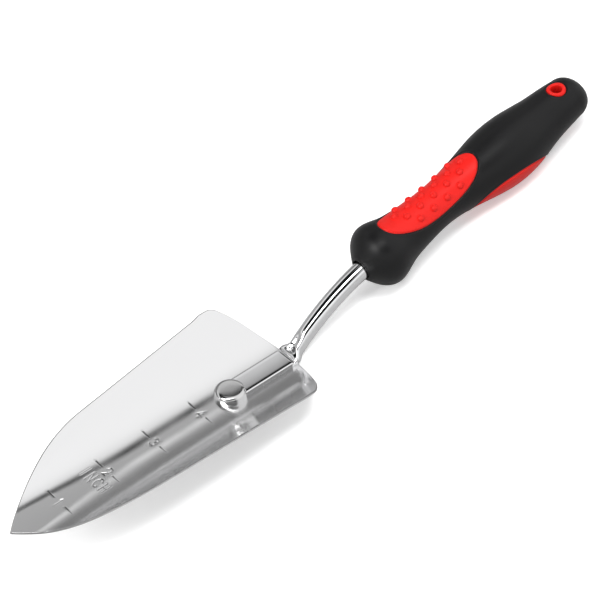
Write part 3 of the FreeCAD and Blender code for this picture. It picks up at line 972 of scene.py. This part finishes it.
def nose_lip(way):
    """The sleeve's mouth round the rod, from deep inside out to the nose."""
    rows = []
    for gap, along in NOSE_LIP:
        radius = sizes("tang").rod_root + gap * MM
        rows.append(np.stack([np.full_like(way, along * MM), -radius * np.sin(way),
                              radius * np.cos(way)], -1))
    return np.array(rows)


def make_sleeve():
    """The black overmould, open where the two red pads and the hang ring show."""
    found = spans()
    marks = [edge for pair in found.values() for edge in pair]
    along = rows_along(0, OVALS[-1, 0], 1.0 * MM, marks)
    start = OVALS[-1, 0]
    dome = start + (DOME_END - start) * np.sin(np.linspace(0, math.pi / 2, 16))[1:]
    along = np.concatenate([along, dome])
    inside = {name: (along > low) & (along < high) for name, (low, high) in found.items()}
    top = np.where(inside["thumb"], thumb_edge(along), 0)
    top = np.where(inside["ring"], ring_edge(along), top)
    bottom = np.where(inside["finger"], finger_edge(along), 0)
    bottom = math.pi - np.where(inside["ring"], ring_edge(along), bottom)
    made = strip("grip_sleeve_skin", along, top, bottom, 56, 0.12 * MM, nose_lip)
    settle(made, handle_place(), "grip_sleeve", "grip_black", 60, "Grip black")


def nub_at(along, across):
    """A low dome with a rounded foot, standing on the pad."""
    grip = sizes("grip")
    half, _, _ = oval_at(along)
    way = math.asin(-across / half)
    place = form(np.array([along]), np.array([way]))[0]
    normal = outward(np.array([along]), np.array([way]))[0]
    fresh()
    bpy.ops.mesh.primitive_uv_sphere_add(segments=20, ring_count=12, radius=grip.nub)
    made = bpy.context.active_object
    at = corners(made)
    lift = np.clip(at[:, 2] / grip.nub, 0, 1)
    at[:, 2] = np.where(at[:, 2] > 0, grip.nub_rise * lift ** 0.85, -0.8 * MM)
    flare = 1 + 0.22 * np.exp(-(lift / 0.12) ** 2)
    at[:, :2] *= flare[:, None]
    put(made, at)
    turn = Vector(normal).to_track_quat("Z", "Y").to_matrix().to_4x4()
    made.matrix_world = Matrix.Translation(place) @ turn
    only(made)
    bpy.ops.object.transform_apply()
    return made


def make_thumb_pad():
    """The red inlay under the thumb, with its staggered nubs."""
    grip = sizes("grip")
    along = crowded(*spans()["thumb"], 90)
    edge = thumb_edge(along)
    made = strip("thumb_pad_skin", along, np.zeros_like(edge), edge, 40)
    nubs = []
    for row in range(grip.nub_rows):
        place = grip.nub_from + row * grip.nub_pitch
        for column in range(4):
            across = (column - 1.5) * grip.nub_pitch
            half, _, _ = oval_at(place)
            edge_here = half * math.sin(min(float(thumb_edge(np.array([place]))[0]), math.pi / 2))
            if (row + column) % 2 == 0 and abs(across) + 1.3 * grip.nub < edge_here:
                nubs.append(nub_at(place, across))
    made = join("thumb_pad_skin", made, *nubs)
    settle(made, handle_place(), "thumb_pad", "grip_red", 60, "Grip red")


def make_finger_pad():
    """The red inlay under the palm swell."""
    along = crowded(*spans()["finger"], 90)
    edge = finger_edge(along)
    made = strip("finger_pad_skin", along, math.pi - edge, np.full_like(edge, math.pi), 48)
    settle(made, handle_place(), "finger_pad", "grip_red", 60, "Grip red")


def make_hang_ring():
    """The red eyelet: a rounded lip that follows the handle on both faces, and the hole's wall."""
    grip = sizes("grip")
    lip = [(grip.ring - inset * MM, rise * MM) for inset, rise in RING_LIP]
    lip += [(grip.hole, -0.9 * MM), (grip.hole, -2.2 * MM)]
    rings = []
    for turn in np.linspace(0, 2 * math.pi, 97)[:-1]:
        upper, lower = [], []
        for radius, rise in lip:
            x = grip.hang_at + radius * math.cos(turn)
            y = radius * math.sin(turn)
            half, high, lift = oval_at(np.array([x]))
            bow = float(high[0]) * math.sqrt(1 - (y / float(half[0])) ** 2)
            upper.append(Vector((x, y, float(lift[0]) + bow + rise)))
            lower.append(Vector((x, y, float(lift[0]) - bow - rise)))
        rings.append(upper + lower[::-1])
    made = skin("hang_ring_eyelet", rings, looped=True)
    settle(made, handle_place(), "hang_ring", "grip_red", 60, "Grip red")


def finish_core():
    """The hidden core keeps its own shape and gets a plain moulded finish."""
    core = frame["nodes"]["handle_core"]
    if not core.material_slots:
        core.data.materials.append(None)
    for spot in core.material_slots:
        spot.material = finishes()["Moulded core"]


# ---------------------------------------------------------------- stage

# The camera in the trowel's own frame: its turn in radians, the place it turns about, and how far
# it stands to the right of that, above it and back from it.
CAMERA_AZIMUTH, CAMERA_ELEVATION, CAMERA_ROLL = -0.72626, 0.74836, -0.00573
CAMERA_AIM = Vector((80.0, 0.0, 0.0)) * MM
CAMERA_OFF = Vector((58.70, 58.48, 1000.0)) * MM
CAMERA_LENS = 141.52


def make_camera():
    turn = (Matrix.Rotation(CAMERA_AZIMUTH, 4, "Z")
            @ Matrix.Rotation(math.pi / 2 - CAMERA_ELEVATION, 4, "X")
            @ Matrix.Rotation(CAMERA_ROLL, 4, "Z"))
    fresh()
    bpy.ops.object.camera_add()
    camera = bpy.context.active_object
    camera.name = "trowel_camera"
    camera.data.lens = CAMERA_LENS
    camera.data.clip_start, camera.data.clip_end = 0.01, 20.0
    aim, stand_off = Matrix.Translation(CAMERA_AIM), Matrix.Translation(CAMERA_OFF)
    camera.matrix_world = trowel_place() @ aim @ turn @ stand_off
    bpy.context.scene.camera = camera


# Brightness round the trowel, by angle from straight up (towards +Y), ahead of it and behind it.
TENT_AHEAD = [(-180, 0.75), (-110, 0.35), (-85, 0.55), (-60, 1.0), (8, 1.0), (23, 0.85), (28.5, 0.005),
              (36.0, 0.005), (38.5, 0.8), (44, 0.76), (53, 0.34), (64, 0.22), (92, 0.20), (120, 0.4),
              (180, 0.75)]
TENT_BEHIND = [(-180, 0.75), (-110, 0.4), (-85, 0.7), (-54, 1.1), (-50, 0.01), (-22, 0.01),
               (-18, 4.0), (-5, 4.0), (-1, 0.01), (40, 0.01), (45, 1.0), (55, 0.8), (68, 0.4),
               (92, 0.45), (120, 0.6), (180, 0.75)]

# The softboxes: name, place, side, power, and whether bright surfaces mirror it.
SOFTBOXES = [("top_softbox", (0.20, -0.30, 1.0), 0.32, 4.2, False),
             ("front_softbox", (-0.75, 0.05, 0.75), 0.35, 3.4, True)]
SOFTBOX_AIM = Vector((0.08, 0, 0.02))
TABLE_SIDE = 6
TABLE_MIRRORED = (0.42, 0.42, 0.42, 1)
TABLE_GLOW = 0.35


def tent_ramp(tree, place, stops):
    """Brightness at a place from 0 to 1 once round the trowel."""
    node = add(tree, "ValToRGB", {"Fac": place})
    elements = node.color_ramp.elements
    while len(elements) < len(stops):
        elements.new(0.5)
    for element, (degrees, _) in zip(elements, stops):
        element.position = (degrees + 180) / 360
    for element, (_, level) in zip(elements, stops):
        element.color = (level, level, level, 1)
    return node.outputs["Color"]


def make_world():
    """A bright tent with dark gaps that run along the trowel, and plain white to the camera."""
    world = bpy.data.worlds.new("Studio tent")
    bpy.context.scene.world = world
    world.use_nodes = True
    tree = world.node_tree
    where = add(tree, "TexCoord", {})
    lean = add(tree, "VectorRotate", {"Vector": where.outputs["Generated"], "Angle": -rest_pitch()},
               rotation_type="Y_AXIS")
    split = add(tree, "SeparateXYZ", {"Vector": lean.outputs["Vector"]})
    round_x = add(tree, "Math", {0: split.outputs["Y"], 1: split.outputs["Z"]}, operation="ARCTAN2")
    turn = add(tree, "MapRange", {"Value": round_x.outputs["Value"], "From Min": -math.pi,
                                  "From Max": math.pi})
    ahead = add(tree, "MapRange", {"Value": split.outputs["X"], "From Min": -0.12, "From Max": 0.22},
                interpolation_type="SMOOTHSTEP")
    blend = add(tree, "Mix", {"Factor": ahead.outputs["Result"],
                              "A": tent_ramp(tree, turn.outputs["Result"], TENT_BEHIND),
                              "B": tent_ramp(tree, turn.outputs["Result"], TENT_AHEAD)},
                data_type="RGBA")
    path = add(tree, "LightPath", {})
    seen = add(tree, "Mix", {"Factor": path.outputs["Is Camera Ray"], "A": blend.outputs["Result"],
                             "B": (1, 1, 1, 1)}, data_type="RGBA")
    background = tree.nodes["Background"]
    tree.links.new(seen.outputs["Result"], background.inputs["Color"])
    background.inputs["Strength"].default_value = 1.0


def make_table():
    """A pale table top that the steel mirrors darker than the camera sees it."""
    fresh()
    bpy.ops.mesh.primitive_plane_add(size=TABLE_SIDE)
    table = named("table_top")
    tree, shader = finish("Table top")
    shader.inputs["Roughness"].default_value = 0.7
    shader.inputs["Emission Color"].default_value = (1, 1, 1, 1)
    seen = add(tree, "LightPath", {}).outputs["Is Camera Ray"]
    tone = add(tree, "Mix", {"Factor": seen, "A": TABLE_MIRRORED, "B": (*sizes("looks").table, 1)},
               data_type="RGBA")
    tree.links.new(tone.outputs["Result"], shader.inputs["Base Color"])
    glow = add(tree, "Math", {0: seen, 1: TABLE_GLOW}, operation="MULTIPLY")
    tree.links.new(glow.outputs["Value"], shader.inputs["Emission Strength"])
    table.data.materials.append(bpy.data.materials["Table top"])


def make_stage():
    make_table()
    for name, place, side, power, mirrored in SOFTBOXES:
        fresh()
        bpy.ops.object.light_add(type="AREA", location=place)
        light = bpy.context.active_object
        light.name = name
        light.data.size = side
        light.data.energy = power
        light.rotation_euler = (SOFTBOX_AIM - Vector(place)).to_track_quat("-Z", "Y").to_euler()
        light.visible_glossy = mirrored
    make_world()
    make_camera()
    bpy.context.scene.view_settings.view_transform = "Standard"


# ---------------------------------------------------------------- operators and panel

class TROWEL_OT_blade(bpy.types.Operator):
    """Model the dished blade with its stamped depth marks"""
    bl_idname = "trowel.blade"
    bl_label = "Blade"

    def execute(self, context):
        make_blade()
        return {"FINISHED"}


class TROWEL_OT_tang(bpy.types.Operator):
    """Model the tang, from the flattened strap to the rod in the handle"""
    bl_idname = "trowel.tang"
    bl_label = "Tang"

    def execute(self, context):
        make_tang()
        return {"FINISHED"}


class TROWEL_OT_rivet(bpy.types.Operator):
    """Model the rivet that holds the strap to the blade"""
    bl_idname = "trowel.rivet"
    bl_label = "Rivet"

    def execute(self, context):
        make_rivet()
        return {"FINISHED"}


class TROWEL_OT_sleeve(bpy.types.Operator):
    """Model the black overmould and finish the core under it"""
    bl_idname = "trowel.sleeve"
    bl_label = "Grip sleeve"

    def execute(self, context):
        make_sleeve()
        finish_core()
        return {"FINISHED"}


class TROWEL_OT_inlays(bpy.types.Operator):
    """Model the red thumb pad, finger pad and hang ring"""
    bl_idname = "trowel.inlays"
    bl_label = "Red inlays"

    def execute(self, context):
        make_thumb_pad()
        make_finger_pad()
        make_hang_ring()
        return {"FINISHED"}


class TROWEL_OT_stage(bpy.types.Operator):
    """Add the table, the lights, the surroundings and the camera"""
    bl_idname = "trowel.stage"
    bl_label = "Stage"

    def execute(self, context):
        make_stage()
        return {"FINISHED"}


class TROWEL_PT_panel(bpy.types.Panel):
    """Lists the trowel's pieces"""
    bl_idname = "TROWEL_PT_panel"
    bl_label = "Hand Trowel"
    bl_space_type = "VIEW_3D"
    bl_region_type = "UI"
    bl_category = "Trowel"

    def draw(self, context):
        for operator in OPERATORS:
            self.layout.operator(operator.bl_idname)
        for name in GROUPS:
            box = self.layout.box()
            for key in sizes(name).bl_rna.properties.keys():
                if key not in ("rna_type", "name"):
                    box.prop(sizes(name), key)


OPERATORS = [TROWEL_OT_blade, TROWEL_OT_tang, TROWEL_OT_rivet, TROWEL_OT_sleeve,
             TROWEL_OT_inlays, TROWEL_OT_stage]
GROUPS = {"blade": BladeSizes, "tang": TangSizes, "grip": GripSizes, "looks": Finishes}


def register():
    for name, kind in GROUPS.items():
        bpy.utils.register_class(kind)
        setattr(bpy.types.Scene, f"trowel_{name}", PointerProperty(type=kind))
    for kind in OPERATORS + [TROWEL_PT_panel]:
        bpy.utils.register_class(kind)


def unregister():
    for kind in reversed(OPERATORS + [TROWEL_PT_panel]):
        bpy.utils.unregister_class(kind)
    for name, kind in GROUPS.items():
        delattr(bpy.types.Scene, f"trowel_{name}")
        bpy.utils.unregister_class(kind)


def main():
    register()
    bpy.ops.trowel.blade()
    bpy.ops.trowel.tang()
    bpy.ops.trowel.rivet()
    bpy.ops.trowel.sleeve()
    bpy.ops.trowel.inlays()
    bpy.ops.trowel.stage()


if __name__ == "__main__":
    main()
